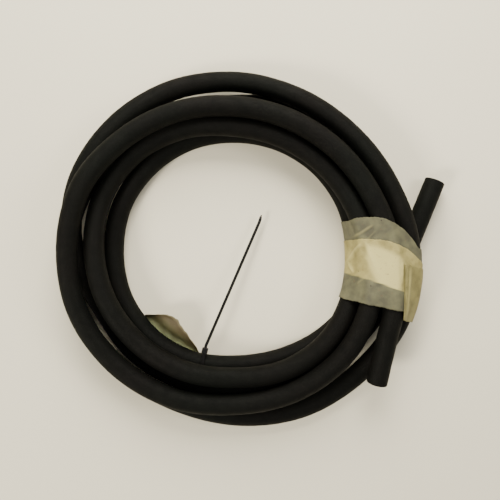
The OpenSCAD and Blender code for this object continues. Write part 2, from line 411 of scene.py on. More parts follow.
@dataclass(frozen=True)
class PorousRubber(Finish):
    """Recycled rubber crumb bound with polyethylene and extruded.

    Its skin is matt and open: grains under a millimetre, small dark pores between them, and a faint
    dusty cast that drifts from olive to brown along the hose.
    """

    name: str = "extruded_crumb_rubber"
    base: str = "#080907"
    olive: str = "#0b0e0a"
    brown: str = "#0e0b09"
    dust: str = "#1c1d18"
    pore: str = "#040404"
    crumb: float = 0.9 * MM
    crumb_depth: float = 0.12 * MM
    pore_spacing: float = 1.6 * MM
    pore_depth: float = 0.15 * MM
    pore_fade: tuple[float, float] = (0.26, 0.1)
    pits_a_pore: float = 2.3
    pit_fade: tuple[float, float] = (0.34, 0.16)
    drift: float = 60 * MM
    patches_a_drift: float = 7

    def material(self) -> bpy.types.Material:
        """Builds the material.

        Returns:
            The finished material.
        """
        tree, shader, place = self.begin()
        crumb = self.noise(tree, place, self.crumb, 2.0)
        drift = self.noise(tree, place, self.drift, 1.0)
        patch = self.noise(tree, place, self.drift / self.patches_a_drift)
        cells = add_node(tree, "ShaderNodeTexVoronoi", None, {
            "Vector": place, "Scale": 1 / self.pore_spacing, "Randomness": 1.0})
        pits = add_node(tree, "ShaderNodeTexVoronoi", None, {
            "Vector": place, "Scale": self.pits_a_pore / self.pore_spacing, "Randomness": 1.0})
        pores = add_node(tree, "ShaderNodeMath", {"operation": "MAXIMUM"}, {
            0: self.ramp(tree, cells.outputs["Distance"], *self.pore_fade),
            1: self.ramp(tree, pits.outputs["Distance"], *self.pit_fade)}).outputs[0]
        colour = self.mix(tree, self.ramp(tree, drift, 0.35, 0.65), self.olive, self.brown)
        colour = self.mix(tree, 0.45, colour, self.base)
        colour = self.mix(tree, self.ramp(tree, crumb, 0.5, 0.95), colour, self.dust)
        colour = self.mix(tree, self.ramp(tree, patch, 0.45, 0.8), colour, self.base)
        colour = self.mix(tree, pores, colour, self.pore)
        tree.links.new(colour, shader.inputs["Base Color"])
        rough = add_node(tree, "ShaderNodeMapRange", None, {
            "Value": patch, "To Min": 0.55, "To Max": 0.75})
        tree.links.new(rough.outputs["Result"], shader.inputs["Roughness"])
        shader.inputs["IOR"].default_value = 1.4
        shader.inputs["Specular IOR Level"].default_value = 0.13
        grain = self.bump(tree, crumb, self.crumb_depth)
        skin = add_node(tree, "ShaderNodeMath", {"operation": "SUBTRACT"}, {0: 1.0, 1: pores})
        holes = self.bump(tree, skin.outputs[0], self.pore_depth, grain)
        tree.links.new(holes, shader.inputs["Normal"])
        return bpy.data.materials[self.name]


@dataclass(frozen=True)
class CrepePaper(Finish):
    """Creped masking tape: thin saturated paper with a dull film of glue under it.

    One layer over the dark rubber looks grey-green, because the rubber shows through, and two layers
    look cream. Fine creping runs across the tape, slack patches are paler, and the creases' ridges
    are painted paler as painted highlight.
    """

    name: str = "creped_masking_paper"
    single: str = "#656449"
    single_dark: str = "#4c4b39"
    double: str = "#a3995f"
    double_dark: str = "#817846"
    # pale cream for slack tape, also used as painted highlight along the creases' ridges
    slack_and_ridge_highlight: str = "#c4ba7a"
    stain: str = "#6d4c33"
    fleck: str = "#241a14"
    crepe: float = 0.9 * MM
    crepe_depth: float = 0.12 * MM
    crepe_stretch: float = 0.12
    cloud: float = 9 * MM
    rub: float = 2.2 * MM
    rub_depth: float = 0.1 * MM
    fleck_spacing: float = 3.5 * MM

    def material(self) -> bpy.types.Material:
        """Builds the material.

        Returns:
            The finished material.
        """
        tree, shader, place = self.begin()
        layers = add_node(tree, "ShaderNodeAttribute", {"attribute_name": "layers"}).outputs["Fac"]
        strip = add_node(tree, "ShaderNodeAttribute", {"attribute_name": "strip"}).outputs["Vector"]
        cloud = self.noise(tree, place, self.cloud)
        fine = self.noise(tree, place, self.rub, 4.0)
        one = self.mix(tree, self.ramp(tree, cloud, 0.35, 0.65), self.single_dark, self.single)
        two = self.mix(tree, self.ramp(tree, cloud, 0.3, 0.6), self.double_dark, self.double)
        colour = self.mix(tree, layers, one, two)
        slack = add_node(tree, "ShaderNodeAttribute", {"attribute_name": "slack"}).outputs["Fac"]
        colour = self.mix(tree, slack, colour, self.slack_and_ridge_highlight)
        colour = self.mix(tree, self.ramp(tree, fine, 0.62, 0.95), colour, self.stain)
        # painted highlight: the paper is painted paler along the creases' ridges, the more the higher
        # they stand
        ridge_highlight_lift = add_node(tree, "ShaderNodeAttribute", {"attribute_name": "crease"}).outputs["Fac"]
        colour = self.mix(tree, self.ramp(tree, ridge_highlight_lift, 0.25, 2.6), colour, self.slack_and_ridge_highlight)
        flecks = self.noise(tree, place, self.fleck_spacing, 1.0)
        colour = self.mix(tree, self.ramp(tree, flecks, 0.77, 0.79), colour, self.fleck)
        tree.links.new(colour, shader.inputs["Base Color"])
        shader.inputs["Roughness"].default_value = 0.62
        shader.inputs["IOR"].default_value = 1.45
        # the creping is drawn longer across the tape than along it
        stretched = add_node(tree, "ShaderNodeMapping", None, {
            "Vector": strip, "Scale": (1, self.crepe_stretch, 1)})
        creping = self.noise(tree, stretched.outputs[0], self.crepe, 2.0)
        ridges = self.bump(tree, creping, self.crepe_depth)
        last_layer = self.bump(tree, fine, self.rub_depth, ridges)
        tree.links.new(last_layer, shader.inputs["Normal"])
        return bpy.data.materials[self.name]


@dataclass(frozen=True)
class ScrapPaper(Finish):
    """Old masking tape that stands free: pale at its foot, browner above and dark at its far end.

    Its top edge is a little paler again. Light shines through it, by the share that thinness gives.
    """

    name: str = "aged_masking_paper"
    pale: str = "#dde4ca"
    olive: str = "#918f6d"
    brown: str = "#786d50"
    edge: str = "#9d9577"
    shaded: str = "#5a533c"
    thinness: float = 0.5
    cloud: float = 8 * MM
    crepe: float = 0.9 * MM
    crepe_depth: float = 0.1 * MM

    def material(self) -> bpy.types.Material:
        """Builds the material.

        Returns:
            The finished material.
        """
        tree, shader, place = self.begin()
        height = add_node(tree, "ShaderNodeAttribute", {"attribute_name": "height"}).outputs["Fac"]
        cloud = self.noise(tree, place, self.cloud)
        shifted = add_node(tree, "ShaderNodeMath", {"operation": "MULTIPLY_ADD"}, {
            0: cloud, 1: 0.35, 2: height}).outputs[0]
        colour = self.mix(tree, self.ramp(tree, shifted, 0.25, 0.6), self.pale, self.olive)
        colour = self.mix(tree, self.ramp(tree, shifted, 0.65, 0.95), colour, self.brown)
        end = add_node(tree, "ShaderNodeAttribute", {"attribute_name": "end"}).outputs["Fac"]
        colour = self.mix(tree, self.ramp(tree, height, 0.88, 0.96), colour, self.edge)
        colour = self.mix(tree, self.ramp(tree, end, 0.36, 0.48), colour, self.shaded)
        tree.links.new(colour, shader.inputs["Base Color"])
        shader.inputs["Roughness"].default_value = 0.5
        creping = self.noise(tree, place, self.crepe, 2.0)
        ridges = self.bump(tree, creping, self.crepe_depth)
        tree.links.new(ridges, shader.inputs["Normal"])
        through = add_node(tree, "ShaderNodeBsdfTranslucent", None, {"Color": colour})
        thin = add_node(tree, "ShaderNodeMixShader", None, {
            0: self.thinness, 1: shader.outputs[0], 2: through.outputs[0]})
        tree.links.new(thin.outputs[0], tree.nodes["Material Output"].inputs["Surface"])
        return bpy.data.materials[self.name]


@dataclass(frozen=True)
class MouldedNylon(Finish):
    """Injection-moulded black nylon: a soft satin gloss with faint flow marks and fine scuffs."""

    name: str = "moulded_black_nylon"
    base: str = "#0b0a09"
    scuff: str = "#1f1b16"
    flow: float = 6 * MM
    scratch: float = 0.7 * MM
    scratch_depth: float = 0.03 * MM

    def material(self) -> bpy.types.Material:
        """Builds the material.

        Returns:
            The finished material.
        """
        tree, shader, place = self.begin()
        flow = self.noise(tree, place, self.flow)
        fine = self.noise(tree, place, self.scratch)
        colour = self.mix(tree, self.ramp(tree, fine, 0.55, 0.9), self.base, self.scuff)
        tree.links.new(colour, shader.inputs["Base Color"])
        rough = add_node(tree, "ShaderNodeMapRange", None, {
            "Value": flow, "To Min": 0.32, "To Max": 0.48})
        tree.links.new(rough.outputs["Result"], shader.inputs["Roughness"])
        shader.inputs["IOR"].default_value = 1.53
        shader.inputs["Specular IOR Level"].default_value = 0.22
        tree.links.new(self.bump(tree, fine, self.scratch_depth), shader.inputs["Normal"])
        return bpy.data.materials[self.name]


@dataclass(frozen=True)
class PaleCard(Finish):
    """Plain pale card for the floor: smooth, matt and a little warm."""

    name: str = "pale_card"
    colour: str = "#efe9d2"
    clouded: str = "#eae4cd"
    cloud: float = 120 * MM

    def material(self) -> bpy.types.Material:
        """Builds the material.

        Returns:
            The finished material.
        """
        tree, shader, place = self.begin()
        cloud = self.noise(tree, place, self.cloud)
        colour = self.mix(tree, cloud, self.colour, self.clouded)
        tree.links.new(colour, shader.inputs["Base Color"])
        shader.inputs["Roughness"].default_value = 0.9
        return bpy.data.materials[self.name]


# ---------------------------------------------------------------- the hose's route

# Each turn's stations: a lane, in hose widths outwards from the innermost one, and a level, in hose
# widths up from the ground. The turns run clockwise, seen from above, and repeat the CAD source's.
LAY = (
    ((2.75, 0.1), (1.95, 0.1), (1.55, 0), (1.3, 0), (1.2, 0), (1.3, 0), (1.45, 0), (1.55, 0.1),
     (2.15, 0.85), (2.5, 1.1), (2.6, 1), (2.65, 0.6), (2.5, 0.45), (2.15, 1.05), (2.1, 1.1),
     (2.25, 1.15)),
    ((2.6, 1.2), (2.9, 0.8), (2.9, 0.1), (2.8, 0), (2.55, 0), (2.4, 0), (2.55, 0), (2.75, 0),
     (2.75, 0), (2.45, 0), (2.1, 0), (1.65, 0), (1.5, 0), (1.8, 0), (2.1, 0), (2.1, 0.05)),
    ((1.6, 0.1), (0.85, 0.1), (0.45, 0), (0.15, 0), (0.05, 0.1), (0.25, 0.1), (0.4, 0),
     (0.45, 0), (0.4, 0), (0.4, 0), (0.3, 0), (0.2, 0), (0.1, 0), (0.1, 0), (0.15, 0), (0.2, 0.05)),
    ((0.2, 0.35), (0.3, 1), (0.5, 1.15), (0.55, 1.05), (0.45, 1.1), (0.6, 1.15), (0.8, 1.05),
     (0.95, 1.2), (1.1, 1.15), (1.2, 0.95), (1, 0.9), (0.6, 1), (0.2, 1.05), (0.1, 1.05),
     (0.15, 1.05), (0.3, 1.15)),
    ((0.6, 1.4), (1.1, 1.75), (1.45, 1.6), (1.65, 1.15), (1.75, 1), (2.05, 1), (2.25, 1.1),
     (2.3, 1.5), (2.15, 1.9), (2, 2.1), (1.65, 1.8), (1.3, 1.75), (1, 1.75), (0.9, 1.75),
     (0.95, 1.75), (1.15, 1.75)),
    ((1.6, 1.75), (2.25, 1.75)),
)
STATIONS_A_TURN = 16


@dataclass(frozen=True)
class HoseRoute:
    """The line down the middle of the hose, from its lower cut end to its upper one.

    Args:
        od: the hose's outer diameter.
        gap: the clearance between neighbouring turns.
        opening: the clear opening inside the innermost turn.
        end_l: the straight length at each cut end.
        middle: the middle of the rings.
        lower_tip: the lower end's angle in degrees past the first station, its lane and level.
        upper_tip: the same for the upper end, past the last station.
        fine_count: the points between two stations, before the line is spaced evenly.
    """

    od: float = 17 * MM
    gap: float = 0.4 * MM
    opening: float = 180 * MM
    end_l: float = 40 * MM
    middle: tuple[float, float, float] = (-11.73 * MM, 0.44 * MM, 0.0)
    lower_tip: tuple[float, float, float] = (-19, 4.7, 0.1)
    upper_tip: tuple[float, float, float] = (21, 3.55, 1.25)
    fine_count: int = 24

    @property
    def radius(self) -> float:
        """The hose's outer radius."""
        return self.od / 2

    def place(self, angle: float, lane: float, level: float) -> Array:
        """Turns a station's values into a point.

        Args:
            angle: degrees clockwise from +X, seen from above.
            lane: hose widths outwards from the innermost turn.
            level: hose widths up from the ground.

        Returns:
            The point on the hose's line.
        """
        pitch = self.od + self.gap
        r = (self.opening + self.od) / 2 + lane * pitch
        turn = math.radians(-angle)
        return np.array(self.middle) + [
            r * math.cos(turn), r * math.sin(turn), self.radius + level * pitch]

    def stations(self) -> Array:
        """Works out the stations of the whole route.

        Returns:
            Their points, with the two tips before and after them.
        """
        step = 360 / STATIONS_A_TURN
        lanes = [station for turn in LAY for station in turn]
        last = (len(lanes) - 1) * step
        return np.array(
            [self.place(self.lower_tip[0], *self.lower_tip[1:])]
            + [self.place(k * step, *lane) for k, lane in enumerate(lanes)]
            + [self.place(last + self.upper_tip[0], *self.upper_tip[1:])])

    def chord(self, k: float) -> tuple[Array, Array]:
        """Finds a place on the straight lines between the stations.

        Args:
            k: the station's number, with a share of the way to the next one.

        Returns:
            The point, and the direction of the line there.
        """
        whole, i = self.stations(), math.floor(k) + 1
        share = k + 1 - i
        return whole[i] * (1 - share) + whole[i + 1] * share, unit(whole[i + 1] - whole[i])

    def curve(self, step: float) -> Array:
        """Draws the smooth line through every station, with straight ends.

        Args:
            step: the distance between two of its points.

        Returns:
            The line's points.
        """
        knots = self.stations()
        joints = [knots[end] + self.end_l * unit(knots[beside] - knots[end])
                  for end, beside in ((0, 1), (-1, -2))]
        knots = np.vstack([knots[:1], joints[:1], knots[1:-1], joints[1:], knots[-1:]])
        at = np.concatenate([[0], np.cumsum(np.linalg.norm(np.diff(knots, axis=0), axis=1))])
        slopes = np.empty_like(knots)
        slopes[1:-1] = (knots[2:] - knots[:-2]) / (at[2:] - at[:-2])[:, None]
        slopes[0], slopes[-1] = unit(knots[1] - knots[0]), unit(knots[-1] - knots[-2])
        fine = []
        for i in range(len(knots) - 1):
            span = at[i + 1] - at[i]
            t = np.linspace(0, 1, self.fine_count, endpoint=i == len(knots) - 2)[:, None]
            fine.append((2 * t**3 - 3 * t**2 + 1) * knots[i] + (t**3 - 2 * t**2 + t) * span * slopes[i]
                        + (3 * t**2 - 2 * t**3) * knots[i + 1] + (t**3 - t**2) * span * slopes[i + 1])
        line = np.vstack(fine)
        run = np.concatenate([[0], np.cumsum(np.linalg.norm(np.diff(line, axis=0), axis=1))])
        even = np.linspace(0, run[-1], round(run[-1] / step) + 1)
        return np.column_stack([np.interp(even, run, line[:, axis]) for axis in range(3)])


def frames(line: Array) -> tuple[Array, Array]:
    """Finds the directions square to a nearly level line.

    Args:
        line: the line's points.

    Returns:
        The sideways and the upward direction at each point.
    """
    ahead = np.gradient(line, axis=0)
    ahead /= np.linalg.norm(ahead, axis=1)[:, None]
    side = np.cross(UP, ahead)
    side /= np.linalg.norm(side, axis=1)[:, None]
    return side, np.cross(ahead, side)


def resampled(ring: Array, count: int) -> Array:
    """Spaces points evenly round a closed loop.

    Args:
        ring: the loop's points.
        count: how many points to return.

    Returns:
        The new points, from the loop's first one.
    """
    whole = np.vstack([ring, ring[:1]])
    run = np.concatenate([[0], np.cumsum(np.linalg.norm(np.diff(whole, axis=0), axis=1))])
    even = np.linspace(0, run[-1], count, endpoint=False)
    return np.column_stack([np.interp(even, run, whole[:, axis]) for axis in range(whole.shape[1])])


def tube_points(line: Array, radii: Array, sides: int) -> Array:
    """Sets rings of points round a line.

    Args:
        line: the rings' middles.
        radii: a radius for each ring.
        sides: the number of points in a ring.

    Returns:
        The points, ring by ring.
    """
    side, up = frames(line)
    angles = np.linspace(0, 2 * math.pi, sides, endpoint=False)
    ways = (np.cos(angles)[None, :, None] * side[:, None]
            + np.sin(angles)[None, :, None] * up[:, None])
    return (line[:, None] + radii[:, None, None] * ways).reshape(-1, 3)


@dataclass
class SoakerHose:
    """The hose: one long open tube with a thick porous wall and two square-cut ends.

    Args:
        route: the line that it follows.
        bore: the diameter of its bore.
        ring_step: the distance between the rings of its skin.
        sides: the corners of each ring.
        bore_step: how many skin rings pass for each ring of the bore.
        cut_edge: how far the cut rounds each end's rim.
    """

    route: HoseRoute = field(default_factory=HoseRoute)
    bore: float = 13 * MM
    ring_step: float = 1.65 * MM
    sides: int = 28
    bore_step: int = 8
    cut_edge: float = 0.35 * MM

    def build(self, material: bpy.types.Material) -> bpy.types.Object:
        """Args:
            material: the rubber.

        Returns:
            The finished hose.
        """
        line = self.route.curve(self.ring_step)
        skin_line, skin_r = self.with_rims(line, self.route.radius, -self.cut_edge)
        bore_line = np.vstack([line[:-1:self.bore_step], line[-1:]])
        bore_line, bore_r = self.with_rims(bore_line, self.bore / 2, self.cut_edge)
        skin = tube_points(skin_line, skin_r, self.sides)
        bore = tube_points(bore_line, bore_r, self.sides)
        faces = grid_faces(len(skin_line), self.sides, closed=True)
        faces += flipped(grid_faces(len(bore_line), self.sides, closed=True), first=len(skin))
        faces += flipped(self.rim(0, len(skin)))
        last = (len(skin_line) - 1) * self.sides
        faces += self.rim(last, len(skin) + (len(bore_line) - 1) * self.sides)
        hose = mesh_object("soaker_hose", np.vstack([skin, bore]), faces, material)
        roughen(hose, "porous_skin", material, {
            "Grain size": 3 * MM, "Grain depth": 0.3 * MM, "Wave length": 45 * MM,
            "Wave depth": 0.5 * MM, "Lift": 0.0})
        # no grain of the skin goes below the ground
        for vertex in hose.data.vertices:
            vertex.co.z = max(vertex.co.z, 0.0)
        finish_piece(hose, Body.COIL, Slot.RUBBER, "hose_coil", "hose_end_lower", "hose_end_upper")
        return hose

    def with_rims(self, line: Array, radius: float, change: float) -> tuple[Array, Array]:
        """Adds a ring close to each end, so that the cut takes off a little of the rim's edge.

        Args:
            line: the middles of a skin's or a bore's rings.
            radius: the radius of its rings.
            change: how much wider the first and the last ring are.

        Returns:
            The new middles and a radius for each.
        """
        inset = abs(change)
        first = line[0] + inset * unit(line[1] - line[0])
        last = line[-1] + inset * unit(line[-2] - line[-1])
        radii = np.full(len(line) + 2, radius)
        radii[[0, -1]] += change
        return np.vstack([line[:1], first, line[1:-1], last, line[-1:]]), radii

    def rim(self, skin: int, bore: int) -> list[Face]:
        """Lists the faces between a skin ring and a bore ring, whose points start at skin and bore."""
        n = self.sides
        return [(skin + j, skin + (j + 1) % n, bore + (j + 1) % n, bore + j) for j in range(n)]


# ---------------------------------------------------------------- the masking tape

@dataclass(frozen=True)
class Crease:
    """A fold in the tape, in millimetres; its places lie across the pack and along the hoses.

    Args:
        start: where it begins.
        end: where it ends.
        height: how far it stands out.
        width: half its width.
    """

    start: tuple[float, float]
    end: tuple[float, float]
    height: float
    width: float

    def lift(self, across: Array, along: Array) -> Array:
        """Works out how far the fold lifts the tape.

        Args:
            across: the points' places across the pack.
            along: their places along the hoses.

        Returns:
            The lift at each point, in metres.
        """
        a, b = np.array(self.start) * MM, np.array(self.end) * MM
        run = b - a
        share = ((across - a[0]) * run[0] + (along - a[1]) * run[1]) / (run @ run)
        held = np.clip(share, 0, 1)
        far = np.hypot(across - a[0] - held * run[0], along - a[1] - held * run[1])
        # lower towards its two ends
        fade = 1 - np.abs(2 * held - 1) ** 3 * 0.7
        return self.height * MM * fade * np.exp(-(far / (self.width * MM)) ** 2)


@dataclass
class PackFrame:
    """Where the tape crosses the turns, and how far the tape is pulled round them.

    Args:
        route: the hose's line.
        skew: the tape's angle across the hoses, in degrees.
        step: the distance between two of the sections that the tape is fitted to.
        reach: the first and the last section along the hoses, from the coil's middle line.
        corners: the points that each hose gives a section.
    """

    route: HoseRoute
    skew: float = 18
    step: float = 2 * MM
    reach: tuple[float, float] = (-66 * MM, 22 * MM)
    corners: int = 96

    def __post_init__(self) -> None:
        """Sets the directions across the pack and along the hoses, and the sections' places."""
        turn = math.radians(self.skew)
        self.across = np.array([math.cos(turn), -math.sin(turn), 0.0])
        self.along = np.array([-math.sin(turn), -math.cos(turn), 0.0])
        self.line = self.route.curve(1 * MM)
        self.heading = np.gradient(self.line, axis=0)
        self.heading /= np.linalg.norm(self.heading, axis=1)[:, None]
        self.places = np.arange(self.reach[0], self.reach[1] + self.step / 2, self.step)

    def section(self, t: float, grow: float) -> Array:
        """Cuts the hoses that the tape crosses with one upright plane.

        Args:
            t: the plane's place along the hoses.
            grow: how far off the hoses to go.

        Returns:
            Points round every hose, across the pack and up.
        """
        off = (self.line - self.route.middle) @ self.along - t
        across = (self.line - self.route.middle) @ self.across
        hits = np.nonzero((off[:-1] * off[1:] <= 0) & (across[:-1] > 0))[0]
        angles = np.linspace(0, 2 * math.pi, self.corners, endpoint=False)
        points = []
        for i in hits:
            share = off[i] / (off[i] - off[i + 1])
            centre = self.line[i] * (1 - share) + self.line[i + 1] * share
            tilt = (np.cos(angles) * (self.heading[i] @ self.across)
                    + np.sin(angles) * self.heading[i][2])
            r = (self.route.radius + grow) / np.sqrt(1 - tilt**2)
            points.append(np.column_stack([
                (centre - self.route.middle) @ self.across + r * np.cos(angles),
                centre[2] + r * np.sin(angles)]))
        return np.vstack(points)

    def loop(self, t: float, grow: float, count: int) -> Array:
        """Pulls a loop taut round the hoses in one section.

        Args:
            t: the section's place along the hoses.
            grow: how far off the hoses to stay.
            count: how many points to return.

        Returns:
            The loop's points, evenly spaced, from the middle of its underside.
        """
        points = sorted(map(tuple, self.section(t, grow)))
        hull: list[tuple[float, float]] = []
        for sweep in (points, points[::-1]):
            base = len(hull)
            for p in sweep:
                while len(hull) >= base + 2 and self.turns_right(hull[-2], hull[-1], p):
                    hull.pop()
                hull.append(p)
            hull.pop()
        # finely spaced first, so that the start is at the same place in every section
        ring = resampled(np.array(hull), 6 * count)
        middle = (ring.min(0) + ring.max(0)) / 2
        angle = np.arctan2(*(ring - middle).T[::-1])
        start = int(np.argmin(np.abs(angle + math.pi / 2)))
        return resampled(np.roll(ring, -start, axis=0), count)

    @staticmethod
    def turns_right(a: tuple[float, float], b: tuple[float, float], c: tuple[float, float]) -> bool:
        """Says whether the way from a through b to c doesn't turn left."""
        return (b[0] - a[0]) * (c[1] - a[1]) - (b[1] - a[1]) * (c[0] - a[0]) <= 0

    def loops(self, grow: float, count: int) -> Array:
        """Returns the taut loops at every section, as one grid."""
        return np.array([self.loop(t, grow, count) for t in self.places])

    def at(self, grid: Array, t: Array, column: Array) -> Array:
        """Looks up places between the points of a grid of loops.

        Args:
            grid: the loops, one for each section.
            t: places along the hoses.
            column: places round the loop, in columns of the grid.

        Returns:
            The grid's points there, across the pack and up.
        """
        # short of the last section, so that each place has a section after it
        spot = np.clip((t - self.places[0]) / self.step, 0, len(self.places) - 1.001)
        row, left = spot.astype(int), np.floor(column).astype(int)
        down, over = (spot - row)[..., None], (column - left)[..., None]
        count = grid.shape[1]
        left, right = left % count, (left + 1) % count
        near = grid[row, left] * (1 - over) + grid[row, right] * over
        far = grid[row + 1, left] * (1 - over) + grid[row + 1, right] * over
        return near * (1 - down) + far * down

    def world(self, across: Array, height: Array, along: Array) -> Array:
        """Turns places in this frame into points of the row frame."""
        flat = across[..., None] * self.across + along[..., None] * self.along
        return np.array(self.route.middle) + flat + height[..., None] * UP


@dataclass(frozen=True)
class Slack:
    """A patch where the tape is loose on what lies under it and looks paler, in millimetres.

    Args:
        corners: its corners in order round it, across the pack and along the hoses.
        soft: how far its edge fades.
    """

    corners: tuple[tuple[float, float], ...]
    soft: float = 2.0

    def amount(self, across: Array, along: Array, facing_up: Array) -> Array:
        """Works out how loose the tape is.

        Args:
            across: the points' places across the pack.
            along: their places along the hoses.
            facing_up: how far each point's outward direction points up.

        Returns:
            1 inside the patch on the pack's top side, 0 outside it, and a fade between.
        """
        inside = np.full(across.shape, np.inf)
        for a, b in zip(self.corners, self.corners[1:] + self.corners[:1]):
            way = unit(np.subtract(b, a))
            inside = np.minimum(inside, way[0] * (along / MM - a[1]) - way[1] * (across / MM - a[0]))
        return smooth_step(inside / self.soft) * smooth_step(facing_up * 4)


Edge = Callable[[Array], Array]


def arched(ends: float, middle: float, peak: float, half: float) -> Edge:
    """Makes an edge of the tape that bows, in millimetres.

    Args:
        ends: where the edge lies along the hoses at its two ends.
        middle: where it lies at its peak.
        peak: the peak's place across the pack.
        half: half the length of the bow.

    Returns:
        The edge.
    """
    def edge(across: Array) -> Array:
        """Returns the edge's place along the hoses at each place across the pack."""
        bow = np.clip(1 - ((across / MM - peak) / half) ** 2, 0, 1)
        return (ends + (middle - ends) * bow) * MM
    return edge


@dataclass
class TapeWinding:
    """One layer of masking tape round the pack.

    Args:
        name: the piece's name.
        node: the CAD node that it stands for.
        pack: where the tape crosses the turns.
        under: the clearance between the hoses and this layer's inner face.
        first: its edge on the side that the hoses come from.
        last: its edge on the side that the hoses go to.
        creases: its folds.
        layered_to: where the layers under it end, if it lies on others.
        slack: where it is loose on what lies under it and looks paler.
        fold: where it begins on top of the pack, if it is a loose end; it runs down the outer side.
        hangs_to: how far down a loose end goes, in shares of a turn from underneath.
        thickness: the tape's thickness, with its glue.
        round_count: the points round the loop.
        wide_count: the points across the tape's width.
        ragged: how far its edges stray.
        settling: how many times its places and its edges are fitted to each other.
    """

    name: str
    node: str
    pack: PackFrame
    under: float
    first: Edge
    last: Edge
    creases: Sequence[Crease] = ()
    layered_to: Edge | None = None
    slack: Slack | None = None
    fold: Edge | None = None
    hangs_to: float = 0.2
    thickness: float = 0.28 * MM
    round_count: int = 440
    wide_count: int = 56
    ragged: float = 0.35 * MM
    settling: int = 4

    def build(self, material: bpy.types.Material) -> bpy.types.Object:
        """Builds the layer as a thin sheet with creases and uneven edges.

        Args:
            material: the paper.

        Returns:
            The finished piece.
        """
        grid = self.pack.loops(self.under, self.round_count)
        columns = self.columns(grid)
        width = np.linspace(0, 1, self.wide_count)[:, None]
        wander = self.wander(columns, width) * np.abs(2 * width - 1) ** 6
        spots = np.broadcast_to(grid[len(grid) // 2], (self.wide_count, *grid.shape[1:]))
        if self.fold:
            spots = self.pack.at(grid, np.zeros(columns.shape), columns)
        for _ in range(self.settling):
            across = spots[..., 0]
            t = self.first(across) * (1 - width) + self.last(across) * width + wander
            spots = self.pack.at(grid, t, columns)
        out = self.outward(spots)
        lift = sum((c.lift(spots[..., 0], t) for c in self.creases), np.zeros(t.shape))
        # only the pack's top is creased
        lift = lift * smooth_step((out[..., 1] + 0.1) / 0.5)
        spots = spots + out * lift[..., None]
        points = self.pack.world(spots[..., 0], spots[..., 1], t)
        faces = grid_faces(*t.shape, closed=self.fold is None)
        piece = mesh_object(self.name, points.reshape(-1, 3), faces, material)
        run = columns * (self.loop_length(grid[len(grid) // 2]) / self.round_count)
        strip = np.stack([run, t, np.zeros(t.shape)], axis=-1)
        set_attribute(piece, "strip", strip.reshape(-1, 3))
        layers = self.layer_values(spots[..., 0], t)
        set_attribute(piece, "layers", layers.ravel())
        slack = self.slack.amount(spots[..., 0], t, out[..., 1]) if self.slack else np.zeros(t.shape)
        set_attribute(piece, "slack", (slack * layers).ravel())
        # each crease's lift in millimetres, which the paper turns into painted highlight on the ridges
        set_attribute(piece, "crease", (lift / MM).ravel())
        roughen(piece, self.name + "_paper", material, {
            "Grain size": 1.4 * MM, "Grain depth": 0.1 * MM, "Wave length": 11 * MM,
            "Wave depth": 0.3 * MM, "Lift": 0.9})
        modifier(piece, "SOLIDIFY", thickness=self.thickness, offset=1.0)
        baked(piece)
        return finish_piece(piece, Body.COIL, Slot.TAPE, self.node)

    def columns(self, grid: Array) -> Array:
        """Sets how each row of the sheet runs round the loop.

        Args:
            grid: the taut loops.

        Returns:
            Each point's place round the loop, in columns of the grid.
        """
        if self.fold is None:
            return np.broadcast_to(np.arange(self.round_count, dtype=float),
                                   (self.wide_count, self.round_count))
        # the columns from the pack's outer side to past the middle of its top
        top = np.arange(self.round_count // 4, self.round_count * 5 // 8)
        count = self.round_count // 4
        rows = []
        for share in np.linspace(0, 1, self.wide_count):
            t = self.first(np.zeros(1)) * (1 - share) + self.last(np.zeros(1)) * share
            across = self.pack.at(grid, np.full(len(top), t[0]), top.astype(float))[:, 0]
            start = np.interp(-self.fold(t)[0], -across, top)
            rows.append(np.linspace(self.hangs_to * self.round_count, start, count))
        return np.array(rows)

    def wander(self, columns: Array, side: Array) -> Array:
        """Works out how far the tape's edges stray.

        Args:
            columns: places round the loop, in columns of the grid.
            side: 0 on the first edge and 1 on the last.

        Returns:
            How far the edge strays along the hoses.
        """
        a = columns / self.round_count * 2 * math.pi
        shift = np.where(side > 0.5, 1.3, 0.0)
        return self.ragged * (np.sin(9 * a + shift) * 0.5 + np.sin(23 * a + 2 * shift) * 0.35
                              + np.sin(61 * a + 5 * shift) * 0.25)

    def outward(self, spots: Array) -> Array:
        """Finds which way the sheet faces.

        Args:
            spots: the sheet's points, across and up.

        Returns:
            The outward direction, across and up, at each point.
        """
        if self.fold is None:
            ahead = np.roll(spots, -1, axis=1) - np.roll(spots, 1, axis=1)
        else:
            ahead = np.gradient(spots, axis=1)
        ahead /= np.linalg.norm(ahead, axis=-1)[..., None]
        return np.stack([ahead[..., 1], -ahead[..., 0]], axis=-1)

    def layer_values(self, across: Array, t: Array) -> Array:
        """Works out the colour attribute for the tape's layers.

        Args:
            across: the points' places across the pack.
            t: their places along the hoses.

        Returns:
            The value for one layer, or for two where another lies underneath.
        """
        if self.layered_to is None:
            return np.full(t.shape, Layers.ONE.value)
        inside = smooth_step((self.layered_to(across) - t) / (0.6 * MM) + 0.5)
        return Layers.ONE.value + (Layers.TWO.value - Layers.ONE.value) * inside

    def loop_length(self, ring: Array) -> float:
        """Returns the length of one turn of the tape."""
        return float(np.linalg.norm(np.diff(np.vstack([ring, ring[:1]]), axis=0), axis=1).sum())


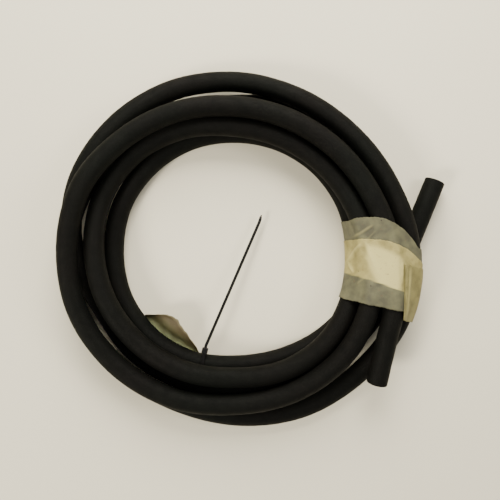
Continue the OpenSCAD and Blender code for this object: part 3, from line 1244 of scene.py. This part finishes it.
@dataclass
class TapeScrap:
    """A scrap of old tape, stuck under the inner turn, that stands up and curls over at its edge.

    Args:
        route: the hose's line.
        length: its length along the hose.
        width: how far it stands out from under the hose.
        clearance: between it and the hose.
        station: where it is stuck, in stations along the hose.
        tilt: its slope up from the ground, in degrees.
        thickness: the tape's thickness.
        curl: how far its top edge bends down.
        lip: how far the top edge turns up again near the far end.
        lip_start: where the lip begins, as a share of the way up.
        lip_rise: how much of the way up the lip takes to rise.
        wave: how far the sheet waves along its length.
        outline: its top edge, as shares of its length and width.
        long_count: the points along it.
        tall_count: the points up it.
    """

    route: HoseRoute
    length: float = 64 * MM
    width: float = 30 * MM
    clearance: float = 0.5 * MM
    station: float = 2 * STATIONS_A_TURN + 5.63
    tilt: float = 45
    thickness: float = 0.26 * MM
    curl: float = 2.2 * MM
    lip: float = 1.4 * MM
    lip_start: float = 0.82
    lip_rise: float = 0.18
    wave: float = 0.6 * MM
    outline: tuple[tuple[float, float], ...] = (
        (-0.5, 0.04), (-0.44, 0.27), (-0.2, 0.74), (0.02, 0.98), (0.12, 1.0), (0.25, 0.93),
        (0.37, 0.68), (0.47, 0.3), (0.5, 0.12))
    long_count: int = 120
    tall_count: int = 44

    def build(self, material: bpy.types.Material) -> bpy.types.Object:
        """Builds the scrap as a bent sheet that follows the hose along its foot.

        Args:
            material: the aged paper.

        Returns:
            The finished piece.
        """
        u = np.linspace(-0.5, 0.5, self.long_count)[:, None]
        centre, inward = self.beside_hose(u[:, 0])
        slope = math.radians(self.tilt)
        rise = (math.cos(slope) * inward + math.sin(slope) * UP)[:, None]
        out = (math.cos(slope) * UP - math.sin(slope) * inward)[:, None]
        base = centre[:, None] - out * (self.route.radius + self.clearance)
        v = np.linspace(0, 1, self.tall_count)[None, :]
        top = np.interp(u, *zip(*self.outline)) + 0.012 * np.sin(47 * u) * (1 - 4 * u * u)
        tall = v * top
        edge = smooth_step((v - self.lip_start) / self.lip_rise) * smooth_step((u - 0.02) / 0.2)
        bend = self.curl * smooth_step((tall - 0.5) / 0.5) * tall
        wave = self.wave * np.sin(9 * u + 3 * tall) * tall
        points = (base + (tall * self.width - bend * 0.5)[..., None] * rise
                  + (self.lip * edge - bend + wave)[..., None] * out)
        piece = mesh_object("tape_scrap_piece", points.reshape(-1, 3),
                            grid_faces(self.long_count, self.tall_count), material)
        shape = points.shape[:2]
        set_attribute(piece, "height", np.broadcast_to(v, shape).ravel())
        set_attribute(piece, "end", np.broadcast_to(u, shape).ravel())
        modifier(piece, "SOLIDIFY", thickness=self.thickness, offset=0.0)
        baked(piece)
        return finish_piece(piece, Body.COIL, Slot.TAPE, "tape_scrap")

    def beside_hose(self, shares: Array) -> tuple[Array, Array]:
        """Finds the hose beside the scrap.

        Args:
            shares: places along the scrap, as shares of its length from its middle.

        Returns:
            The hose's line there, and the level directions towards the coil's inside.
        """
        step = 1 * MM
        line = self.route.curve(step)
        point, _ = self.route.chord(self.station)
        nearest = int(np.argmin(np.linalg.norm(line - point, axis=1)))
        at = nearest + shares * self.length / step
        heading = np.gradient(line, axis=0)
        spots, ways = (np.column_stack([np.interp(at, np.arange(len(line)), table[:, axis])
                                        for axis in range(3)]) for table in (line, heading))
        inward = np.cross(ways, UP)
        return spots, inward / np.linalg.norm(inward, axis=1)[:, None]


@dataclass
class MaskingTape:
    """The two windings, their loose end and the scrap.

    Args:
        route: the hose's line.
        gap: the clearance between a layer and what lies under it.
        sheet: the room that each layer takes.
    """

    route: HoseRoute
    gap: float = 0.3 * MM
    sheet: float = 0.3 * MM

    def build(self) -> None:
        """Builds every piece of tape."""
        paper = CrepePaper().material()
        # the loose end's paper has darker cream colours: painted shade for its place down the pack's
        # shaded outer side
        last_layer = CrepePaper("shaded_masking_paper", double="#8b8350", double_dark="#6d663c").material()
        pack = PackFrame(self.route)
        first_last = arched(-8.5, -10, 115, 32)

        def folded(along: Array) -> Array:
            """Returns where across the pack the loose end begins, at each place along it."""
            return (131.6 + 0.309 * (along / MM + 32)) * MM

        TapeWinding(
            "tape_inner_winding", "tape_first_winding", pack, self.gap,
            arched(-47, -60, 107, 34), first_last,
            creases=(
                Crease((99.8, -53.8), (88, -38), 0.8, 1.2),
                Crease((114, -56), (108, -43), 0.3, 2.0),
                Crease((103, -50), (97, -37), 0.5, 1.0),
            ),
        ).build(paper)
        TapeWinding(
            "tape_outer_winding", "tape_second_winding", pack, self.gap * 2 + self.sheet,
            arched(-33.5, -44, 118, 36), self.slanted(11, 6, 97, 142),
            creases=(
                Crease((95.2, -35.5), (92.7, -18.7), 1.5, 0.9),
                Crease((92.7, -18.7), (98.7, -10.6), 1.2, 0.8),
                Crease((99.7, -34.5), (115.9, -14.5), 0.9, 1.3),
                Crease((106.8, -11.6), (102.6, -3.5), 0.5, 1.0),
                Crease((129, -33), (134, -14), 1.3, 1.2),
                Crease((86, -30), (88, -14), 0.9, 0.8),
                Crease((118, -30), (126, -16), 0.4, 3.0),
            ),
            layered_to=first_last,
            slack=Slack(((96, -39), (112, -40), (128, -37), (134, -20), (140, 2), (121, 1),
                         (110, -13), (101, -24)), soft=5.0),
        ).build(paper)
        TapeWinding(
            "tape_loose_end", "tape_tail", pack, self.gap * 3 + self.sheet * 2,
            arched(-30, -32, 150, 20), arched(11.5, 12.5, 150, 20),
            creases=(
                Crease((139, -28), (147, 8), 0.9, 1.1),
                Crease((134.5, -30), (146, 8), 0.5, 0.7),
            ),
            layered_to=arched(14, 14, 150, 20), fold=folded,
        ).build(last_layer)
        TapeScrap(self.route).build(ScrapPaper().material())

    @staticmethod
    def slanted(left: float, right: float, low: float, high: float) -> Edge:
        """Makes an edge that runs straight from one side of the pack to the other, in millimetres.

        Args:
            left: where it lies along the hoses on the pack's inner side.
            right: where it lies on the outer side.
            low: where the inner side is, across the pack.
            high: where the outer side is.

        Returns:
            The edge.
        """
        def edge(across: Array) -> Array:
            """Returns the edge's place along the hoses at each place across the pack."""
            return np.interp(across / MM, [low, high], [left, right]) * MM
        return edge


# ---------------------------------------------------------------- the cable tie

@dataclass
class CableTie:
    """A nylon cable tie round the inner turn: strap, teeth, head and pawl.

    Args:
        route: the hose's line.
        width: the strap's width.
        thickness: the strap's thickness, teeth included.
        station: where it is, in stations along the hose.
        turn: how far its loop is turned from square to the hose, in degrees.
        tail_turn: how far the tail swings along the hose past the head, in degrees.
        tail_slope: how far the strap slopes down through the head, in degrees.
        tail_l: the strap's length past the head.
        stub: how much of it stays straight before it swings.
        bend_l: the length that bends by the tip.
        bend: how far it bends there.
        fine_l: the length by the tip that has closer rings.
        tip_l: the length over which the tip narrows.
        tip_narrow: how much of its width it loses.
        tip_thin: how much of its thickness it loses.
        corner: the rounding of the strap's edges.
        loop_gap: the clearance round the hose.
        head_w: the head's length along the hose.
        head_d: its size inwards.
        head_under: how far it reaches below the strap.
        head_corner: the rounding of its outer edges.
        head_edge: the rounding of its openings' edges.
        wall: the thickness of its walls.
        slot_gap: the clearance round the strap in its slot.
        pawl_gap: the clearance round the pawl.
        pawl_l: the pawl's length from its pin.
        pawl_room: how much narrower it is than the strap.
        pin_r: its pin's radius.
        pin_l: how far the pin sticks out on each side.
        tooth_pitch: the distance between two of the strap's teeth.
        tooth_h: their height.
        tooth_inset: how far they stop short of the strap's sides.
    """

    route: HoseRoute
    width: float = 2.5 * MM
    thickness: float = 1.1 * MM
    station: float = 2 * STATIONS_A_TURN + 4.73
    turn: float = -6
    tail_turn: float = -11
    tail_slope: float = 5.5
    tail_l: float = 122 * MM
    stub: float = 1 * MM
    bend_l: float = 9 * MM
    bend: float = 0.7 * MM
    fine_l: float = 12 * MM
    tip_l: float = 3 * MM
    tip_narrow: float = 0.62
    tip_thin: float = 0.45
    corner: float = 0.25 * MM
    loop_gap: float = 0.4 * MM
    head_w: float = 5 * MM
    head_d: float = 4.4 * MM
    head_under: float = 2.6 * MM
    head_corner: float = 0.45 * MM
    head_edge: float = 0.08 * MM
    wall: float = 0.7 * MM
    slot_gap: float = 0.25 * MM
    pawl_gap: float = 0.2 * MM
    pawl_l: float = 2.2 * MM
    pawl_room: float = 0.9 * MM
    pin_r: float = 0.4 * MM
    pin_l: float = 0.8 * MM
    tooth_pitch: float = 1.0 * MM
    tooth_h: float = 0.16 * MM
    tooth_inset: float = 0.35 * MM

    def __post_init__(self) -> None:
        """Sets the tie's own frame and the heights that its parts share."""
        self.origin, heading = self.route.chord(self.station)
        angle = math.atan2(heading[1], heading[0]) + math.radians(self.turn)
        self.along = np.array([math.cos(angle), math.sin(angle), 0.0])
        self.inward = np.array([math.sin(angle), -math.cos(angle), 0.0])
        self.slope = math.radians(self.tail_slope)
        self.loop_r = self.route.radius + self.loop_gap
        self.head_x = self.loop_r
        self.strap_y = self.loop_r / math.cos(self.slope) - self.head_x * math.tan(self.slope)
        self.head_low = self.strap_y - self.head_under
        self.head_high = self.strap_y + self.thickness + self.slot_gap + self.wall
        self.head_run = (self.head_x + self.head_d) / math.cos(self.slope) + self.slot_gap
        self.pawl_w = self.width - self.pawl_room
        self.pawl_at = np.array([self.head_x + self.wall + self.pawl_gap + self.pin_r,
                                 self.head_low + self.wall + self.pawl_gap + self.pin_r])

    def world(self, points: Array) -> Array:
        """Turns points of the tie's plane, (inward, up, along the hose), into the row frame."""
        points = np.asarray(points, float)
        return (self.origin + points[..., :1] * self.inward + points[..., 1:2] * UP
                + points[..., 2:] * self.along)

    def build(self) -> None:
        """Builds the strap, its teeth, the head and the pawl."""
        nylon = MouldedNylon().material()
        self.build_strap(nylon)
        self.build_head(nylon)
        self.build_pawl(nylon)

    def strap_line(self) -> tuple[Array, Array, Array]:
        """Works out the strap's route: up, round the hose, through the head and along the tail.

        Returns:
            The middle line of its inner face, with the outward and across directions.
        """
        places, outs = [], []
        across = np.array([0.0, 0.0, 1.0])
        for y in np.linspace(self.head_low, 0, 7)[:-1]:
            places.append([self.loop_r, y, 0])
            outs.append([1, 0, 0])
        sweep = math.radians(270) + self.slope
        for a in -np.linspace(0, sweep, 90):
            places.append([self.loop_r * math.cos(a), self.loop_r * math.sin(a), 0])
            outs.append([math.cos(a), math.sin(a), 0])
        sides = [across] * len(places)
        ahead = np.array([math.cos(self.slope), -math.sin(self.slope), 0.0])
        out = np.array([math.sin(self.slope), math.cos(self.slope), 0.0])
        top = self.loop_r * out
        for x in np.linspace(0, self.head_run + self.stub, 16)[1:]:
            places.append(top + x * ahead)
            outs.append(out)
            sides.append(across)
        start = top + (self.head_run + self.stub) * ahead
        turn = math.radians(self.tail_turn)
        way = math.cos(turn) * ahead + math.sin(turn) * across
        beside = math.cos(turn) * across - math.sin(turn) * ahead
        rest = self.tail_l - self.stub
        plain = np.linspace(0, rest - self.fine_l, 60)[1:]
        fine = np.linspace(rest - self.fine_l, rest, 14)[1:]
        for x in np.concatenate([plain, fine]):
            bent = self.bend * smooth_step((x - rest + self.bend_l) / self.bend_l) ** 2
            places.append(start + x * way + bent * beside)
            outs.append(out)
            sides.append(beside)
        return np.array(places), np.array(outs), np.array(sides)

    def build_strap(self, nylon: bpy.types.Material) -> None:
        """Builds the strap with rounded edges and a narrow tip, and its fine teeth.

        Args:
            nylon: the material.
        """
        places, outs, sides = self.strap_line()
        body = self.thickness - self.tooth_h
        corner = self.corner
        half = self.width / 2
        rings = []
        run = np.concatenate([[0], np.cumsum(np.linalg.norm(np.diff(places, axis=0), axis=1))])
        for place, out, side, s in zip(places, outs, sides, run):
            left = run[-1] - s
            narrow = 1 - self.tip_narrow * (1 - smooth_step(left / self.tip_l))
            # it thins over a little more of its length than it narrows
            thin = 1 - self.tip_thin * (1 - smooth_step(left / (1.2 * self.tip_l)))
            ring = []
            for cx, cy, start in ((half, body, 0), (-half, body, 90), (-half, 0, 180), (half, 0, 270)):
                for a in np.radians([start, start + 45, start + 90]):
                    x = cx - math.copysign(corner, cx) + corner * math.cos(a)
                    y = (body - corner if cy else corner) + corner * math.sin(a)
                    ring.append(place + side * x * narrow + out * (self.tooth_h + y * thin))
            rings.append(ring)
        count = len(rings[0])
        points = self.world(np.array(rings).reshape(-1, 3))
        faces = grid_faces(len(rings), count, closed=True)
        faces.append(tuple(range(count)))
        faces.append(tuple(len(points) - count + i for i in reversed(range(count))))
        strap = mesh_object("tie_strap_piece", points, faces, nylon)
        self.face_outwards(strap)
        teeth = self.build_teeth(places, outs, sides, nylon)
        self.joined(strap, teeth)
        finish_piece(strap, Body.COIL, Slot.NYLON, "tie_strap")

    def build_teeth(self, places: Array, outs: Array, sides: Array, nylon: bpy.types.Material
                    ) -> bpy.types.Object:
        """Builds the strap's teeth, as sloping ridges along its inner face.

        Args:
            places: the middle line of the strap's inner face.
            outs: its outward directions.
            sides: its across directions.
            nylon: the material.

        Returns:
            The teeth, as one object.
        """
        # the strap's first and last stretches are smooth
        keep = slice(8, len(places) - 10)
        line = self.world(places[keep])
        mesh = bpy.data.meshes.new("tooth_line")
        mesh.from_pydata([tuple(p) for p in line], [(i, i + 1) for i in range(len(line) - 1)], [])
        obj = bpy.data.objects.new("tie_teeth", mesh)
        bpy.context.scene.collection.objects.link(obj)
        turned = [self.world(v[keep]) - self.origin for v in (sides, outs)]
        set_attribute(obj, "across", turned[0])
        set_attribute(obj, "outward", turned[1])
        half, pitch = self.width / 2 - self.tooth_inset, self.tooth_pitch
        # each tooth's broad root is sunk into the strap, and its narrow crest leans forwards
        root = self.tooth_h * 1.6
        outline = ((-0.45 * pitch, root), (0.45 * pitch, root), (0.4 * pitch, 0.0), (0.2 * pitch, 0.0))
        tooth = mesh_object(
            "tooth", np.array([[x, y, z] for x in (-half, half) for y, z in outline]),
            [(0, 1, 2, 3), (7, 6, 5, 4), (0, 4, 5, 1), (1, 5, 6, 2), (2, 6, 7, 3), (3, 7, 4, 0)], nylon)
        self.face_outwards(tooth)
        return along_path(obj, "strap_teeth", nylon, tooth, pitch)

    def build_head(self, nylon: bpy.types.Material) -> None:
        """Builds the head: a rounded block with the strap's slot and the pawl's pocket.

        Args:
            nylon: the material.
        """
        low = np.array([self.head_x, self.head_low, -self.head_w / 2])
        high = np.array([self.head_x + self.head_d, self.head_high, self.head_w / 2])
        head = self.block("tie_head_piece", low, high, nylon)
        self.face_outwards(head)
        modifier(head, "BEVEL", width=self.head_corner, segments=3)
        baked(head)
        past = 1 * MM
        half = self.width / 2 + self.slot_gap
        slot_low = np.array([self.head_x - past, self.strap_y - self.slot_gap, -half])
        slot_high = np.array([self.head_x + self.head_d + past,
                              self.strap_y + self.thickness + self.slot_gap, half])
        slot = self.block("slot", slot_low, slot_high, nylon, drop=math.tan(self.slope))
        inner = self.pawl_w / 2 + self.pawl_gap
        pocket_low = np.array([self.head_x + self.wall, self.head_low + self.wall, -inner])
        pocket_end = self.head_x + self.wall + 2 * self.pawl_gap + self.pin_r + self.pawl_l
        pocket = self.block("pocket", pocket_low, np.array([pocket_end, self.strap_y, inner]), nylon)
        for cutter in (slot, pocket):
            self.face_outwards(cutter)
            modifier(head, "BOOLEAN", object=cutter, operation="DIFFERENCE", solver="EXACT")
            baked(head)
            bpy.data.objects.remove(cutter)
        head.data.materials.clear()
        head.data.materials.append(nylon)
        head.data.shade_flat()
        modifier(head, "BEVEL", width=self.head_edge, segments=2, limit_method="ANGLE",
                 angle_limit=math.radians(40))
        baked(head)
        finish_piece(head, Body.COIL, Slot.NYLON, "tie_head")

    def build_pawl(self, nylon: bpy.types.Material) -> None:
        """Builds the pawl: a wedge with three teeth on its upper face, on a round pin.

        Args:
            nylon: the material.
        """
        tip_y = (self.strap_y - (self.pawl_at[0] + self.pawl_l - self.head_x) * math.tan(self.slope)
                 - self.pawl_gap - self.pawl_at[1])
        outline = [[0, -self.pin_r], [self.pawl_l, 0], [self.pawl_l, tip_y]]
        # three teeth run back and down from the tip
        for i in range(3):
            x = self.pawl_l * (0.82 - 0.16 * i)
            y = tip_y - (tip_y - self.pin_r) * (0.22 + 0.3 * i)
            outline += [[x, y - 0.12 * MM], [x - 0.01 * MM, y]]
        outline += [[self.pawl_l * 0.4, self.pin_r], [0, self.pin_r]]
        n = len(outline)
        points = [[x + self.pawl_at[0], y + self.pawl_at[1], z]
                  for z in (-self.pawl_w / 2, self.pawl_w / 2) for x, y in outline]
        faces = [tuple(range(n)), tuple(reversed(range(n, 2 * n)))]
        faces += [(i, n + i, n + (i + 1) % n, (i + 1) % n) for i in range(n)]
        pawl = mesh_object("tie_pawl_piece", self.world(np.array(points)), faces, nylon)
        self.face_outwards(pawl)
        pin = self.pin(nylon)
        self.joined(pawl, pin)
        pawl.data.shade_flat()
        finish_piece(pawl, Body.PAWL, Slot.NYLON, "tie_pawl")

    def pin(self, nylon: bpy.types.Material) -> bpy.types.Object:
        """Builds the pawl's pin, with its edges taken off.

        Args:
            nylon: the material.

        Returns:
            The pin.
        """
        sides, half, edge = 24, self.pawl_w / 2 + self.pin_l, 0.08 * MM
        rings = [(-half, self.pin_r - edge), (-half + edge, self.pin_r),
                 (half - edge, self.pin_r), (half, self.pin_r - edge)]
        points = [[self.pawl_at[0] + r * math.cos(a), self.pawl_at[1] + r * math.sin(a), z]
                  for z, r in rings for a in np.linspace(0, 2 * math.pi, sides, endpoint=False)]
        faces = grid_faces(len(rings), sides, closed=True)
        faces += [tuple(range(sides)), tuple(len(points) - sides + i for i in reversed(range(sides)))]
        pin = mesh_object("pin", self.world(np.array(points)), faces, nylon)
        self.face_outwards(pin)
        return pin

    def block(self, name: str, low: Array, high: Array, nylon: bpy.types.Material, drop: float = 0.0
              ) -> bpy.types.Object:
        """Builds a block in the tie's plane, whose top and bottom may fall away inwards.

        Args:
            name: the object's name.
            low: its lowest corner: inward, up and along the hose.
            high: its highest corner.
            nylon: the material.
            drop: how far its top and bottom fall for each metre inwards.

        Returns:
            The block.
        """
        points = []
        for x in (low[0], high[0]):
            for y in (low[1], high[1]):
                for z in (low[2], high[2]):
                    points.append([x, y - (x - self.head_x) * drop, z])
        faces = [(0, 1, 3, 2), (4, 6, 7, 5), (0, 4, 5, 1), (2, 3, 7, 6), (0, 2, 6, 4), (1, 5, 7, 3)]
        return mesh_object(name, self.world(np.array(points)), faces, nylon)

    @staticmethod
    def face_outwards(obj: bpy.types.Object) -> None:
        """Turns a closed mesh's faces outwards.

        Args:
            obj: the object that has the mesh.
        """
        made = bmesh.new()
        made.from_mesh(obj.data)
        bmesh.ops.recalc_face_normals(made, faces=made.faces)
        made.to_mesh(obj.data)
        made.free()

    @staticmethod
    def joined(obj: bpy.types.Object, other: bpy.types.Object) -> None:
        """Adds one object's mesh to another's.

        Args:
            obj: the object that stays.
            other: the object that is added and then removed.
        """
        made = bmesh.new()
        made.from_mesh(obj.data)
        made.from_mesh(other.data)
        made.to_mesh(obj.data)
        made.free()
        bpy.data.objects.remove(other)


# ---------------------------------------------------------------- camera, light and floor

@dataclass(frozen=True)
class Lamp:
    """A square lamp that faces the coil's middle.

    Args:
        name: the lamp's name.
        place: where it hangs, in metres.
        size: its side.
        power: its power in watts.
        colour: its colour as a hex value.
    """

    name: str
    place: tuple[float, float, float]
    size: float
    power: float
    colour: str

    def hang(self) -> None:
        """Adds the lamp to the scene."""
        data = bpy.data.lights.new(self.name, "AREA")
        data.size = self.size
        data.energy = self.power
        data.color = linear(self.colour)[:3]
        lamp = bpy.data.objects.new(self.name, data)
        lamp.location = self.place
        away = unit(np.array(self.place))
        lamp.rotation_euler = (math.acos(away[2]), 0, math.atan2(away[1], away[0]) + math.pi / 2)
        bpy.context.scene.collection.objects.link(lamp)


@dataclass
class Studio:
    """The camera straight above the coil, soft lamps and a pale floor.

    Args:
        camera_height: how high the camera is above the ground.
        field_of_view: the angle that it sees from side to side, in degrees.
        lamps: the lamps.
        sky_colour: the colour of the even light from all round.
        sky_strength: its strength.
        floor_size: the floor's side.
        floor_drop: how far the floor lies under the ground, so that nothing touches it.
    """

    camera_height: float = 520 * MM
    field_of_view: float = 45.65
    lamps: tuple[Lamp, ...] = (
        Lamp("key_lamp", (-0.92, -0.62, 1.0), 0.4, 19, "#fff6e6"),
        Lamp("top_lamp", (0.0, 0.7, 0.6), 0.6, 16, "#fff8ec"),
        Lamp("side_lamp", (0.9, 0.1, 1.0), 0.5, 6, "#fff8f0"),
    )
    sky_colour: str = "#f2f2ee"
    sky_strength: float = 0.42
    floor_size: float = 3.0
    floor_drop: float = 0.1 * MM

    def place_camera(self) -> None:
        """Adds the camera, looking straight down."""
        data = bpy.data.cameras.new("camera")
        data.sensor_fit = "HORIZONTAL"
        data.angle = math.radians(self.field_of_view)
        data.clip_start = 0.01
        camera = bpy.data.objects.new("camera", data)
        camera.location = (0, 0, self.camera_height)
        bpy.context.scene.collection.objects.link(camera)
        bpy.context.scene.camera = camera

    def light(self) -> None:
        """Adds the lamps and an even sky."""
        for lamp in self.lamps:
            lamp.hang()
        world = bpy.data.worlds.new("sky")
        world.use_nodes = True
        back = world.node_tree.nodes["Background"]
        back.inputs["Color"].default_value = linear(self.sky_colour)
        back.inputs["Strength"].default_value = self.sky_strength
        bpy.context.scene.world = world

    def place_floor(self) -> None:
        """Adds the floor just under the hose."""
        half = self.floor_size / 2
        points = np.array([[-half, -half, 0], [half, -half, 0], [half, half, 0], [-half, half, 0]])
        floor = mesh_object("floor", points - UP * self.floor_drop, [(0, 1, 2, 3)],
                            PaleCard().material())


def main() -> None:
    """Builds the studio and every piece of the part."""
    logging.basicConfig(level=logging.INFO, format="%(name)s: %(message)s")
    studio = Studio()
    studio.place_camera()
    hose = SoakerHose()
    hose.build(PorousRubber().material())
    MaskingTape(hose.route).build()
    CableTie(hose.route).build()
    studio.light()
    studio.place_floor()


if __name__ == "__main__":
    main()
